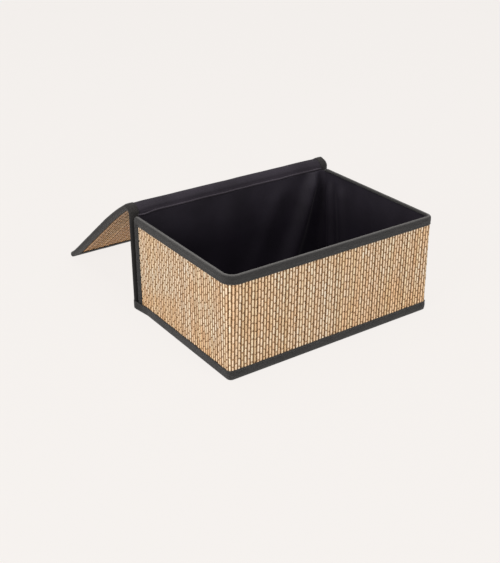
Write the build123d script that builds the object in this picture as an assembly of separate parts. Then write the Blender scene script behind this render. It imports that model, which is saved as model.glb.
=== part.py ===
"""Seagrass storage basket: a lidded woven box with its lid folded back to the ground.

Millimetres, +Z up. The origin is the centre of the box's footprint, on the ground. The box's front wall
faces -Y, and its rear wall and the lid are one bound panel that folds along +X just above the rear wall.
The lid is drawn folded back, with its free edge on the ground behind the box.
"""

import os
from math import cos, radians, sin

from build123d import *

# The box over its binding tape, without the rear panel's side edges
WIDTH = 350.0
DEPTH = 250.0
HEIGHT = 150.0
CORNER = 12.0  # plan radius of the two front corners

# The layers of every wall, from outside to inside
TAPE = 0.8
MAT = 2.6
BOARD = 1.6
LINING = 0.6
CORE = MAT + BOARD + LINING
BOARD_GAP = 3.0  # from a board's edge to the outside of the tape round it

# Binding tape: how far it shows on each face
TAPE_BAND = 14.0
BASE_BAND = 12.0  # the base tape's width under the box
RIM_INSIDE = 3.0  # how far the rim's tape comes down over the lining
FLARE = 28.0  # length over which the base tape spreads to the rear panel
THREAD = 0.8  # width of a row of stitches
THREAD_RISE = 0.3
STITCH_INSET = 2.0  # from the tape's free edge to its row of stitches

# The rear panel and lid
EDGE_OUT = 4.0  # how far the panel's sides stand out past the side walls
FOLD_RADIUS = 6.7  # of the panel's middle, over the fold
FOLD_RISE = 5.0  # the straight stretch between the rear wall's top and the fold
START_SLOPE = 31.0  # degrees below level where the lid leaves the fold
LID_SLOPE = 38.5  # degrees below level from the end of the bow to the free edge
BOW = 100.0  # length over which the lid bends from one slope to the other

# Worked out
FRONT = -DEPTH / 2
REAR = DEPTH / 2
PANEL_HALF = WIDTH / 2 + EDGE_OUT
SIDE_END = REAR - CORE - 2 * TAPE  # where the side walls meet the rear panel
PANEL_MID = REAR - TAPE - CORE / 2
FOLD_Y = PANEL_MID + FOLD_RADIUS
FOLD_Z = HEIGHT + FOLD_RISE
BOW_RADIUS = BOW / radians(LID_SLOPE - START_SLOPE)
FACE = CORE / 2  # from the panel's middle to its bare face
BOUND = FACE + TAPE  # from the panel's middle to the face of its tape
BASE_TOP = TAPE + BOARD
BOARD_TOP = HEIGHT - BOARD_GAP


# Sketch helpers

def u_plan(inset, end=SIDE_END):
    """Plan of all that lies inside the front and side walls, drawn in by inset."""
    half = WIDTH / 2 - inset
    front = FRONT + inset
    plan = Pos(0, (front + end) / 2) * Rectangle(2 * half, end - front)
    return fillet(plan.vertices().group_by(Axis.Y)[0], CORNER - inset)


def u_wall(outer, inner, low, high, end=SIDE_END):
    """The front and side walls' layer between two insets, with its ends open at the rear."""
    wall = u_plan(outer, end) - u_plan(inner, end + CORNER)
    return Pos(0, 0, low) * extrude(wall, high - low)


def block(x, y, z):
    """A box from its low and high limits along each axis."""
    size = (x[1] - x[0], y[1] - y[0], z[1] - z[0])
    middle = ((x[0] + x[1]) / 2, (y[0] + y[1]) / 2, (z[0] + z[1]) / 2)
    return Pos(*middle) * Box(*size)


def foot_plan(inset):
    """Plan inside the base tape: the box's footprint, spreading to the rear panel's sides."""
    half = WIDTH / 2 - inset
    wide = PANEL_HALF - inset
    front = FRONT + inset
    rear = REAR - inset
    right = [(half, front), (half, SIDE_END - FLARE), (wide, SIDE_END), (wide, rear)]
    left = [(-x, y) for x, y in reversed(right)]
    plan = make_face(Polyline(*right, *left, close=True))
    return fillet(plan.vertices().group_by(Axis.Y)[0], CORNER - inset)


def base_plan():
    """The part of the base that the base tape leaves open."""
    return Rectangle(WIDTH - 2 * BASE_BAND, DEPTH - 2 * BASE_BAND)


def fold_point(angle, rise):
    """A point of the fold, at an angle about its centre, rise above the panel's middle."""
    reach = FOLD_RADIUS + rise
    return (FOLD_Y + reach * cos(radians(angle)), FOLD_Z + reach * sin(radians(angle)))


def fold_slab(low, high, x0, x1):
    """A layer of the panel over the fold, between two heights from its middle."""
    end = 90 - START_SLOPE
    half_way = (180 + end) / 2
    outline = [
        Line((FOLD_Y - FOLD_RADIUS - low, HEIGHT), (FOLD_Y - FOLD_RADIUS - high, HEIGHT)),
        Line((FOLD_Y - FOLD_RADIUS - high, HEIGHT), fold_point(180, high)),
        ThreePointArc(fold_point(180, high), fold_point(half_way, high), fold_point(end, high)),
        Line(fold_point(end, high), fold_point(end, low)),
        ThreePointArc(fold_point(end, low), fold_point(half_way, low), fold_point(180, low)),
        Line(fold_point(180, low), (FOLD_Y - FOLD_RADIUS - low, HEIGHT)),
    ]
    return extrude_along_x(outline, x0, x1)


def extrude_along_x(outline, x0, x1):
    """A solid whose section in Y and Z is the outline, from x0 to x1."""
    section = Plane.YZ.offset(x0) * make_face(outline)
    return extrude(section, x1 - x0, dir=(1, 0, 0))


def lid_point(along, rise):
    """A point of the lid, along its length from the fold and rise above its middle."""
    slope = radians(START_SLOPE) + min(along, BOW) / BOW_RADIUS
    start = radians(START_SLOPE)
    middle = fold_point(90 - START_SLOPE, 0)
    straight = max(along - BOW, 0)
    y = middle[0] + BOW_RADIUS * (sin(slope) - sin(start)) + straight * cos(slope)
    z = middle[1] - BOW_RADIUS * (cos(start) - cos(slope)) - straight * sin(slope)
    return (y + rise * sin(slope), z + rise * cos(slope))


# The lid is as long as it takes for its bound lower edge to touch the ground
LID_LENGTH = BOW + lid_point(BOW, -BOUND)[1] / sin(radians(LID_SLOPE))


def lid_slab(low, high, x0, x1, start=0.0, end=LID_LENGTH):
    """A layer of the lid between two heights from its middle and two lengths from the fold."""
    if start >= BOW:
        near = [lid_point(start, low), lid_point(start, high)]
        far = [lid_point(end, high), lid_point(end, low)]
        return extrude_along_x(Polyline(*near, *far, close=True), x0, x1)
    half_way = (start + BOW) / 2
    outline = [
        Line(lid_point(start, low), lid_point(start, high)),
        ThreePointArc(lid_point(start, high), lid_point(half_way, high), lid_point(BOW, high)),
        Line(lid_point(BOW, high), lid_point(end, high)),
        Line(lid_point(end, high), lid_point(end, low)),
        Line(lid_point(end, low), lid_point(BOW, low)),
        ThreePointArc(lid_point(BOW, low), lid_point(half_way, low), lid_point(start, low)),
    ]
    return extrude_along_x(outline, x0, x1)


# The woven mat: one piece round the front and sides, one up the rear wall and over the lid

def wrap_mat():
    return u_wall(TAPE, TAPE + MAT, TAPE, HEIGHT - TAPE, end=SIDE_END - TAPE)


def rear_mat():
    half = PANEL_HALF - TAPE
    return block((-half, half), (REAR - TAPE - MAT, REAR - TAPE), (TAPE, HEIGHT))


def hinge_mat():
    half = PANEL_HALF - TAPE
    return fold_slab(-FACE, MAT - FACE, -half, half)


def lid_mat():
    half = PANEL_HALF - TAPE
    return lid_slab(-FACE, MAT - FACE, -half, half, end=LID_LENGTH - TAPE)


# Stiffening boards between the mat and the lining

def side_board(side):
    outer = WIDTH / 2 - TAPE - MAT
    limits = sorted((side * (outer - BOARD), side * outer))
    return block(limits, (FRONT + CORNER, SIDE_END - 2 * TAPE), (BASE_TOP, BOARD_TOP))


def front_board():
    half = WIDTH / 2 - CORNER
    outer = FRONT + TAPE + MAT
    return block((-half, half), (outer, outer + BOARD), (BASE_TOP, BOARD_TOP))


def rear_board():
    half = WIDTH / 2
    outer = REAR - TAPE - MAT
    return block((-half, half), (outer - BOARD, outer), (BASE_TOP, BOARD_TOP))


def base_board():
    inset = TAPE + MAT
    return Pos(0, 0, TAPE) * extrude(u_plan(inset, REAR - inset), BOARD)


def lid_board():
    half = PANEL_HALF - BOARD_GAP
    end = LID_LENGTH - BOARD_GAP
    return lid_slab(MAT - FACE, FACE - LINING, -half, half, start=BOARD, end=end)


# Black cloth: the lining bag, its extension over the fold and lid, and the cover under the base

def box_lining():
    inset = TAPE + MAT + BOARD
    rear = REAR - inset
    bag = Pos(0, 0, BASE_TOP) * extrude(u_plan(inset, rear), HEIGHT - TAPE - BASE_TOP)
    hollow = Pos(0, 0, BASE_TOP + LINING) * extrude(u_plan(inset + LINING, rear - LINING), HEIGHT)
    return bag - hollow


def hinge_lining():
    half = PANEL_HALF - TAPE
    return fold_slab(FACE - LINING, FACE, -half, half)


def lid_lining():
    half = PANEL_HALF - TAPE
    return lid_slab(FACE - LINING, FACE, -half, half, end=LID_LENGTH - TAPE)


def base_cover():
    return extrude(base_plan(), TAPE)


# Binding tape

def rim_tape():
    """Folded over the top of the front and side walls, and shown mostly on the outside."""
    thickness = CORE + 2 * TAPE
    inside = HEIGHT - RIM_INSIDE
    fold = u_wall(0, thickness, inside, HEIGHT)
    fold -= u_wall(TAPE, thickness - TAPE, inside, HEIGHT - TAPE, SIDE_END + TAPE)
    return fold + u_wall(0, TAPE, HEIGHT - TAPE_BAND, inside)


def base_tape():
    """Round the foot of all four walls and in under the base."""
    walls = Pos(0, 0, TAPE) * extrude(foot_plan(TAPE), TAPE_BAND)
    base = extrude(base_plan(), TAPE)
    return extrude(foot_plan(0), TAPE_BAND) - walls - base


def corner_tape(side):
    """Round the rear end of a side wall, on its outside and its end."""
    outer = WIDTH / 2
    inner = outer - TAPE - MAT - BOARD
    z = (TAPE_BAND, HEIGHT - TAPE_BAND)
    face = block(sorted((side * (outer - TAPE), side * outer)), (SIDE_END - TAPE_BAND, SIDE_END), z)
    return face + block(sorted((side * inner, side * outer)), (SIDE_END - TAPE, SIDE_END), z)


def rear_tape(side):
    """Round one upright edge of the rear panel."""
    edge = side * PANEL_HALF
    z = (TAPE_BAND, HEIGHT)
    outside = block(sorted((edge - side * TAPE_BAND, edge)), (REAR - TAPE, REAR), z)
    end = block(sorted((edge - side * TAPE, edge)), (SIDE_END, REAR), z)
    inside = block(sorted((side * (WIDTH / 2 - TAPE - MAT), edge)), (SIDE_END, SIDE_END + TAPE), z)
    return outside + end + inside


def panel_side_tape(slab, side):
    """Tape round a side edge of the panel, over the fold or along the lid."""
    edge = side * PANEL_HALF
    band = sorted((edge - side * TAPE_BAND, edge))
    end = sorted((edge - side * TAPE, edge))
    return slab(FACE, BOUND, *band) + slab(-BOUND, -FACE, *band) + slab(-BOUND, BOUND, *end)


def lid_front_tape():
    half = PANEL_HALF - TAPE_BAND
    start = LID_LENGTH - TAPE_BAND
    lining_side = lid_slab(FACE, BOUND, -half, half, start=start)
    mat_side = lid_slab(-BOUND, -FACE, -half, half, start=start)
    end = lid_slab(-BOUND, BOUND, -half, half, start=LID_LENGTH - TAPE)
    return lining_side + mat_side + end


# Rows of stitches, each along the free edge of its tape

def rim_thread():
    low = HEIGHT - TAPE_BAND + STITCH_INSET
    return u_wall(-THREAD_RISE, 0, low, low + THREAD)


def base_thread():
    low = TAPE_BAND - STITCH_INSET - THREAD
    return Pos(0, 0, low) * extrude(foot_plan(-THREAD_RISE) - foot_plan(0), THREAD)


def corner_thread(side):
    x = sorted((side * WIDTH / 2, side * (WIDTH / 2 + THREAD_RISE)))
    y = SIDE_END - TAPE_BAND + STITCH_INSET
    return block(x, (y, y + THREAD), (TAPE_BAND, HEIGHT - TAPE_BAND))


def rear_thread(side):
    x = side * (PANEL_HALF - TAPE_BAND + STITCH_INSET)
    return block(sorted((x, x + side * THREAD)), (REAR, REAR + THREAD_RISE), (TAPE_BAND, HEIGHT))


def lid_thread(low, high):
    """A row down each side of the lid and along its front, on one face."""
    inset = TAPE_BAND - STITCH_INSET
    outer = PANEL_HALF - inset
    end = LID_LENGTH - inset
    left = lid_slab(low, high, -outer - THREAD, -outer, end=end + THREAD)
    right = lid_slab(low, high, outer, outer + THREAD, end=end + THREAD)
    front = lid_slab(low, high, -outer, outer, start=end, end=end + THREAD)
    return left + front + right


PARTS = {
    "wrap_mat": wrap_mat(),
    "rear_mat": rear_mat(),
    "hinge_mat": hinge_mat(),
    "lid_mat": lid_mat(),
    "left_board": side_board(-1),
    "right_board": side_board(1),
    "front_board": front_board(),
    "rear_board": rear_board(),
    "base_board": base_board(),
    "lid_board": lid_board(),
    "box_lining": box_lining(),
    "hinge_lining": hinge_lining(),
    "lid_lining": lid_lining(),
    "base_cover": base_cover(),
    "rim_tape": rim_tape(),
    "base_tape": base_tape(),
    "left_corner_tape": corner_tape(-1),
    "right_corner_tape": corner_tape(1),
    "left_rear_tape": rear_tape(-1),
    "right_rear_tape": rear_tape(1),
    "left_hinge_tape": panel_side_tape(fold_slab, -1),
    "right_hinge_tape": panel_side_tape(fold_slab, 1),
    "left_lid_tape": panel_side_tape(lid_slab, -1),
    "right_lid_tape": panel_side_tape(lid_slab, 1),
    "front_lid_tape": lid_front_tape(),
    "rim_thread": rim_thread(),
    "base_thread": base_thread(),
    "left_corner_thread": corner_thread(-1),
    "right_corner_thread": corner_thread(1),
    "left_rear_thread": rear_thread(-1),
    "right_rear_thread": rear_thread(1),
    "lid_lining_thread": lid_thread(BOUND, BOUND + THREAD_RISE),
    "lid_mat_thread": lid_thread(-BOUND - THREAD_RISE, -BOUND),
}

os.makedirs("parts", exist_ok=True)
for name, piece in PARTS.items():
    piece.label = name
    export_step(piece, f"parts/{name}.step")
print(f"lid length {LID_LENGTH:.1f}, free edge at y {lid_point(LID_LENGTH, 0)[0]:.1f}")
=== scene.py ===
# %% [markdown]
# # A lidded seagrass storage basket
# The basket is a box of woven seagrass with stiff boards in its walls, a loose black lining and charcoal
# binding tape on every edge. Its rear wall and its lid are one bound panel, folded back over the rim.

# %% Load the frame
import math

import bmesh
import bpy
import numpy as np
from mathutils import Matrix, Vector


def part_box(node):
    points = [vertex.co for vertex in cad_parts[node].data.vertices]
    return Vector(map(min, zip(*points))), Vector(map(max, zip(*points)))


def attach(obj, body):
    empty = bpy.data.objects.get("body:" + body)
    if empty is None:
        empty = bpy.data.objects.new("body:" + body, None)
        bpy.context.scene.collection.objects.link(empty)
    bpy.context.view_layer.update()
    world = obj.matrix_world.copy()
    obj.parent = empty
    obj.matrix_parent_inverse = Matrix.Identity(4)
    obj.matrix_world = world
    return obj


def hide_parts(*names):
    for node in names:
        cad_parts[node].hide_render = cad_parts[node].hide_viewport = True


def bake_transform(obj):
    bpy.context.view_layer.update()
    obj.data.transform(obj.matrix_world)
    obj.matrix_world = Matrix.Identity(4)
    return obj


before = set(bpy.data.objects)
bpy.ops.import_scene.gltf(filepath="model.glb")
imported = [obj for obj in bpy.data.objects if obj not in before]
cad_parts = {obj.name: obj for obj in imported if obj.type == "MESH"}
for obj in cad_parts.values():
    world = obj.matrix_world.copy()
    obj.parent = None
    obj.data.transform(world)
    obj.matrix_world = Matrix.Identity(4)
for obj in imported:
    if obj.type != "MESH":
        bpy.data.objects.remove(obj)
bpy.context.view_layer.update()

# %% [markdown]
# Sizes are read from the loaded parts where a part has them. The rest are the few numbers that the parts
# were drawn from: the fold of the panel over the rear wall, and the slight bow of the lid behind it.
# `BOUND` is half the thickness of a bound edge, tape included, and `FACE` is half of what the tape is
# folded round.

# %% Sizes
rim_low, rim_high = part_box("rim_tape")
foot_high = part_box("base_tape")[1]
rear_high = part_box("rear_mat")[1]
bag_low, bag_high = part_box("box_lining")

HALF = rim_high.x
FRONT = rim_low.y
REAR = foot_high.y
TOP = rim_high.z
SIDE_END = rim_high.y
PANEL_HALF = foot_high.x
TAPE_BAND = foot_high.z
TAPE = REAR - rear_high.y
LINING = 0.0006
BOUND = (REAR - SIDE_END) / 2
FACE = BOUND - TAPE
PANEL_MID = REAR - BOUND
FOLD_RADIUS = 0.0067
FOLD_RISE = 0.005
START_SLOPE = math.radians(31.0)
LID_SLOPE = math.radians(38.5)
BOW = 0.100
print(f"box {2 * HALF:.3f} x {REAR - FRONT:.3f} x {TOP:.3f} m, panel {2 * BOUND * 1000:.1f} mm thick")

# %% [markdown]
# ## Bending flat things
# A maker weaves a flat mat and sews flat tape, then bends both round the box. The script does the same.
# Each piece is first modelled flat, and two functions then say where a flat point goes: `wall_at` bends a
# point round the front and side walls, and `panel_at` carries it up the rear wall, over the fold and down
# the lid. Every rib, stitch and tape keeps very nearly its true width this way, whatever it is bent round.
# The front corners are tight at the foot and open out towards the rim, the left one more than the right.

# %% Round the front and side walls
MEAN_CORNER = 0.012
LEFT_CORNER = (0.007, 0.018)  # radius at the foot and at the rim
RIGHT_CORNER = (0.006, 0.010)
WALL_RUN = 2 * (SIDE_END - FRONT - MEAN_CORNER) + 2 * (HALF - MEAN_CORNER) + MEAN_CORNER * math.pi


def smooth_step(value):
    """0 to 1 with a gentle start and end."""
    value = np.clip(value, 0, 1)
    return value * value * (3 - 2 * value)


def wall_at(along, height, out):
    """A point along the walls from the left rear end, out from the tape's outer face."""
    along, height, out = np.broadcast_arrays(*(np.asarray(v, float) for v in (along, height, out)))
    grow = smooth_step(height / TOP)
    left = LEFT_CORNER[0] + (LEFT_CORNER[1] - LEFT_CORNER[0]) * grow
    right = RIGHT_CORNER[0] + (RIGHT_CORNER[1] - RIGHT_CORNER[0]) * grow
    depth = SIDE_END - FRONT
    mark_1 = depth - left
    mark_2 = mark_1 + left * math.pi / 2
    mark_3 = mark_2 + 2 * HALF - left - right
    mark_4 = mark_3 + right * math.pi / 2
    along = along * (mark_4 + depth - right) / WALL_RUN
    turn = (along - mark_1) / left
    turn_2 = (along - mark_3) / right
    where = [along < mark_1, along < mark_2, along < mark_3, along < mark_4]
    x = np.select(where, [-HALF - out, -HALF + left - (left + out) * np.cos(turn),
                          -HALF + left + along - mark_2, HALF - right + (right + out) * np.sin(turn_2)],
                  HALF + out)
    y = np.select(where, [SIDE_END - along, FRONT + left - (left + out) * np.sin(turn),
                          FRONT - out, FRONT + right - (right + out) * np.cos(turn_2)],
                  FRONT + right + along - mark_4)
    return np.stack([x, y, height], -1)


print(f"the front and side walls run {WALL_RUN:.3f} m")

# %% [markdown]
# The panel is straight up the rear wall, then an arc over the fold, then a shallow arc where the lid's own
# weight bows it, then straight to its free edge on the ground. `rise` is the height above the middle of the
# panel's thickness, on the lining's side. Over the fold nothing stiff holds the panel up, so it slumps a
# little there, and most at its two ends, where the tape pulls it down.

# %% Up the rear wall, over the fold and down the lid
FOLD_Y = PANEL_MID + FOLD_RADIUS
FOLD_Z = TOP + FOLD_RISE
FOLD_RUN = FOLD_RADIUS * (math.pi / 2 + START_SLOPE)
BOW_RADIUS = BOW / (LID_SLOPE - START_SLOPE)
SLUMP = 0.0010
END_SLUMP = 0.0026
TAPE_SLUMP = 0.0006


def lid_at(along, rise):
    """Y and Z of a point of the lid, along from the end of the fold."""
    slope = START_SLOPE + np.minimum(along, BOW) / BOW_RADIUS
    straight = np.maximum(along - BOW, 0)
    y = FOLD_Y + FOLD_RADIUS * math.sin(START_SLOPE)
    z = FOLD_Z + FOLD_RADIUS * math.cos(START_SLOPE)
    y = y + BOW_RADIUS * (np.sin(slope) - math.sin(START_SLOPE))
    z = z - BOW_RADIUS * (math.cos(START_SLOPE) - np.cos(slope))
    y = y + straight * np.cos(slope) + rise * np.sin(slope)
    return y, z - straight * np.sin(slope) + rise * np.cos(slope)


LID_LENGTH = BOW + float(lid_at(BOW, -BOUND)[1]) / math.sin(LID_SLOPE)
PANEL_RUN = FOLD_Z + FOLD_RUN + LID_LENGTH


def panel_at(x, along, rise):
    """A point of the panel, along from the ground up the rear wall, over the fold and down the lid."""
    x, along, rise = np.broadcast_arrays(*(np.asarray(v, float) for v in (x, along, rise)))
    angle = math.pi - (along - FOLD_Z) / FOLD_RADIUS
    lid_y, lid_z = lid_at(np.maximum(along - FOLD_Z - FOLD_RUN, 0), rise)
    where = [along < FOLD_Z, along < FOLD_Z + FOLD_RUN]
    reach = FOLD_RADIUS + rise
    y = np.select(where, [PANEL_MID - rise, FOLD_Y + reach * np.cos(angle)], lid_y)
    z = np.select(where, [along, FOLD_Z + reach * np.sin(angle)], lid_z)
    to_end = PANEL_HALF - np.abs(x)
    slump = SLUMP + END_SLUMP * smooth_step(1 - to_end / 0.050)
    slump = slump + TAPE_SLUMP * smooth_step(1 - to_end / TAPE_BAND)
    past_rim = smooth_step((along - TOP) / 0.008)
    before_lid = smooth_step((FOLD_Z + FOLD_RUN + 0.002 - along) / 0.0065)
    return np.stack([x, y, z - slump * past_rim * before_lid], -1)


print(f"the panel runs {PANEL_RUN:.3f} m, of which the lid is {LID_LENGTH:.3f} m")

# %% [markdown]
# Small helpers turn a bmesh into a named object, read and move its points, and store numbers on them for
# the materials to read. `ripple` is a sum of a few seeded waves, for the small unevenness that cloth and
# tape have. `folds_with_lid` is called on every piece that runs over the fold, and only bakes the piece's
# placement into its mesh.

# %% Helpers
def finished(bm, name, smooth=True):
    """A mesh object from a bmesh."""
    mesh = bpy.data.meshes.new(name)
    bm.to_mesh(mesh)
    bm.free()
    for polygon in mesh.polygons:
        polygon.use_smooth = smooth
    piece = bpy.data.objects.new(name, mesh)
    bpy.context.scene.collection.objects.link(piece)
    return piece


def points_of(mesh):
    """The mesh's points as an array."""
    flat = np.zeros(len(mesh.vertices) * 3)
    mesh.vertices.foreach_get("co", flat)
    return flat.reshape(-1, 3)


def put(mesh, places):
    """Moves the mesh's points to an array of places."""
    mesh.vertices.foreach_set("co", np.asarray(places).ravel())


def turned_out(piece):
    """Turns the piece's faces outwards and shades them smooth."""
    bm = bmesh.new()
    bm.from_mesh(piece.data)
    bmesh.ops.recalc_face_normals(bm, faces=bm.faces)
    for face in bm.faces:
        face.smooth = True
    bm.to_mesh(piece.data)
    bm.free()
    return piece


def keep_numbers(mesh, name, values):
    """Stores three numbers on each point, for a material to read."""
    layer = mesh.attributes.new(name, "FLOAT_VECTOR", "POINT")
    layer.data.foreach_set("vector", np.asarray(values, np.float32).ravel())


def ripple(values, seed, size, length):
    """A smooth uneven wave along values: size is its height, and length its usual spacing."""
    draw = np.random.default_rng(seed)
    shares = (1.0, 0.61, 0.37)
    total = 0
    for share in shares:
        phase = draw.uniform(0, 2 * math.pi)
        total = total + np.sin(values / (length * share) * 2 * math.pi + phase) * share
    return total * size / sum(shares)


def dressed(piece, material, body, replaced=()):
    """Gives a piece its material and body, and hides the parts it stands for."""
    piece.data.materials.clear()
    piece.data.materials.append(material)
    if body is not None:
        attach(piece, body)
    if replaced:
        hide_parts(*replaced)
    print(f"{piece.name}: {len(piece.data.polygons)} faces")
    return piece


FOLD_START = panel_at(0, TOP, 0)
FOLD_END = panel_at(0, FOLD_Z + FOLD_RUN, 0)


def folds_with_lid(piece):
    """Bakes the piece's placement into its mesh."""
    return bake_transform(piece)


print("helpers ready")

# %% [markdown]
# ## Materials
# Every finish is a node tree. `Finish` is a thin wrapper that adds nodes and joins them, so each material
# below reads like a recipe. Colour, roughness and bump are worked out mostly from numbers kept on the
# points, so a pattern stays on its rib or tape however the piece is bent.

# %% A wrapper for node trees
class Finish:
    """A material and the few kinds of nodes that the finishes below are made of."""

    def __init__(self, name, roughness, specular=0.5):
        self.material = bpy.data.materials.new(name)
        self.material.use_nodes = True
        self.tree = self.material.node_tree
        self.shader = self.tree.nodes["Principled BSDF"]
        self.shader.inputs["Roughness"].default_value = roughness
        self.shader.inputs["Specular IOR Level"].default_value = specular

    def node(self, kind, inputs=None, **settings):
        made = self.tree.nodes.new("ShaderNode" + kind)
        for key, value in settings.items():
            setattr(made, key, value)
        for key, value in (inputs or {}).items():
            self.feed(made.inputs[key], value)
        return made

    def feed(self, socket, value):
        if isinstance(value, bpy.types.NodeSocket):
            self.tree.links.new(value, socket)
        else:
            socket.default_value = value

    def math(self, operation, first, second=0.0, clamp=False):
        made = self.node("Math", {0: first, 1: second}, operation=operation, use_clamp=clamp)
        return made.outputs[0]

    def mix(self, share, first, second, blend="MIX"):
        made = self.node("Mix", data_type="RGBA", blend_type=blend)
        self.feed(made.inputs["Factor"], share)
        self.feed(made.inputs[6], first)
        self.feed(made.inputs[7], second)
        return made.outputs[2]

    def ramp(self, value, stops):
        made = self.node("ValToRGB", {0: value})
        elements = made.color_ramp.elements
        while len(elements) < len(stops):
            elements.new(0.5)
        for element, (place, colour) in zip(elements, stops):
            element.position = place
            element.color = (*colour, 1)
        return made.outputs[0]

    def between(self, value, start, end, low=0.0, high=1.0):
        return self.node("MapRange", {0: value, 1: start, 2: end, 3: low, 4: high}).outputs[0]

    def noise(self, vector, scale, detail=2.0, roughness=0.5):
        made = self.node("TexNoise", {"Vector": vector, "Scale": scale, "Detail": detail})
        made.inputs["Roughness"].default_value = roughness
        return made.outputs["Fac"]

    def stretched(self, vector, scale):
        return self.node("Mapping", {"Vector": vector, "Scale": scale}).outputs[0]

    def bump(self, height, distance, strength=1.0):
        made = self.node("Bump", {"Height": height, "Distance": distance, "Strength": strength})
        self.feed(self.shader.inputs["Normal"], made.outputs[0])

    def colour(self, value):
        self.feed(self.shader.inputs["Base Color"], value)


print("finish wrapper ready")

# %% [markdown]
# ### Dry seagrass
# Each rib of the weave is a strand with its own shade, from pale cream to tan, with a hint of pink or green.
# Along a strand every float, the stretch that shows between two crossings, differs a little again, and a
# painted shade darkens both its ends, where it dips under, and the rib's edges. The numbers on the points
# are the rib's number, the place across it and the place along it counted in floats, so the colour can be
# drawn per strand and per float. The panel's mat is the same grass, drawn browner and darker all over as
# painted shade.

# %% Seagrass
def seagrass_material(name, tone, shadow):
    """Dry seagrass: tone multiplies its colour, and shadow is the colour in its dips and edges."""
    finish = Finish(name, 0.5, 0.35)
    kept = finish.node("Attribute", attribute_name="weave")
    parts = finish.node("SeparateXYZ", {0: kept.outputs["Vector"]})
    rib, across, along = parts.outputs
    float_number = finish.math("ROUND", along)
    by_rib = finish.node("TexWhiteNoise", {"W": rib}, noise_dimensions="1D").outputs
    cell = finish.node("CombineXYZ", {0: rib, 1: float_number}).outputs[0]
    by_float = finish.node("TexWhiteNoise", {"Vector": cell}, noise_dimensions="2D").outputs
    spread = finish.math("MULTIPLY", rib, 5.3)
    fibre_place = finish.node("CombineXYZ", {0: spread, 1: across, 2: along}).outputs[0]
    fibres = finish.noise(finish.stretched(fibre_place, (1, 2.6, 0.5)), 2.2, 4, 0.65)

    shade = finish.math("MULTIPLY", by_rib[0], 0.22)
    shade = finish.math("ADD", shade, finish.math("MULTIPLY", by_float[0], 0.38))
    shade = finish.math("ADD", shade, finish.math("MULTIPLY", fibres, 0.46))
    shade = finish.math("ADD", shade, 0.02, clamp=True)
    straw = finish.ramp(shade, [
        (0.06, (0.53, 0.330, 0.170)), (0.28, (0.76, 0.560, 0.360)), (0.50, (0.95, 0.765, 0.550)),
        (0.72, (1.00, 0.885, 0.700)), (0.95, (1.00, 0.950, 0.830))])

    other_draw = finish.math("ADD", rib, 0.37)
    hue = finish.node("TexWhiteNoise", {"W": other_draw}, noise_dimensions="1D").outputs[0]
    tint = finish.ramp(hue, [(0.0, (1.0, 0.93, 0.88)), (0.5, (1, 1, 1)), (1.0, (0.96, 1.0, 0.93))])
    straw = finish.mix(0.8, straw, tint, "MULTIPLY")
    place = finish.node("TexCoord").outputs["Object"]
    patch = finish.noise(place, 11.0, 3)
    low = finish.between(finish.node("SeparateXYZ", {0: place}).outputs["Z"], 0.07, 0.01)
    patch = finish.math("ADD", patch, finish.math("MULTIPLY", low, 0.16))
    warm = finish.ramp(patch, [(0.48, (1, 1, 1)), (0.74, (1.0, 0.80, 0.60))])
    straw = finish.mix(0.8, straw, warm, "MULTIPLY")
    straw = finish.mix(1.0, straw, tone, "MULTIPLY")

    # painted shade: each float darkens towards its dipping ends, and each rib towards its edges
    to_dip = finish.math("ABSOLUTE", finish.math("SUBTRACT", along, float_number))
    dip = finish.math("POWER", finish.math("MULTIPLY", to_dip, 2.0), 6.0)
    edge = finish.math("POWER", finish.math("ABSOLUTE", across), 1.15)
    depth = finish.between(by_float[0], 0.0, 1.0, 0.60, 1.15)
    shaded = finish.math("MULTIPLY", edge, 1.12)
    shaded = finish.math("ADD", finish.math("MULTIPLY", dip, depth), shaded, clamp=True)
    finish.colour(finish.mix(shaded, straw, shadow))
    dull = finish.math("ADD", finish.math("MULTIPLY", fibres, 0.25), 0.38)
    finish.feed(finish.shader.inputs["Roughness"], dull)
    finish.bump(fibres, 0.0004, 0.7)
    return finish.material


def weft_material():
    """The thin cross strands, seen only deep between the ribs."""
    finish = Finish("seagrass_weft", 0.7, 0.2)
    place = finish.node("TexCoord").outputs["Object"]
    grain = finish.noise(place, 420.0, 3)
    finish.colour(finish.ramp(grain, [(0.3, (0.22, 0.120, 0.052)), (0.7, (0.36, 0.215, 0.105))]))
    finish.bump(grain, 0.0003, 0.6)
    return finish.material


SEAGRASS = seagrass_material("seagrass", (1.0, 1.0, 1.0, 1), (0.25, 0.135, 0.058, 1))
# painted shade: the same seagrass, drawn browner and darker all over the rear wall and lid
SHADED_PANEL_SEAGRASS = seagrass_material("panel_seagrass_painted_shade", (0.76, 0.55, 0.33, 1), (0.14, 0.063, 0.016, 1))
WEFT = weft_material()
print("seagrass materials ready")
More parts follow.
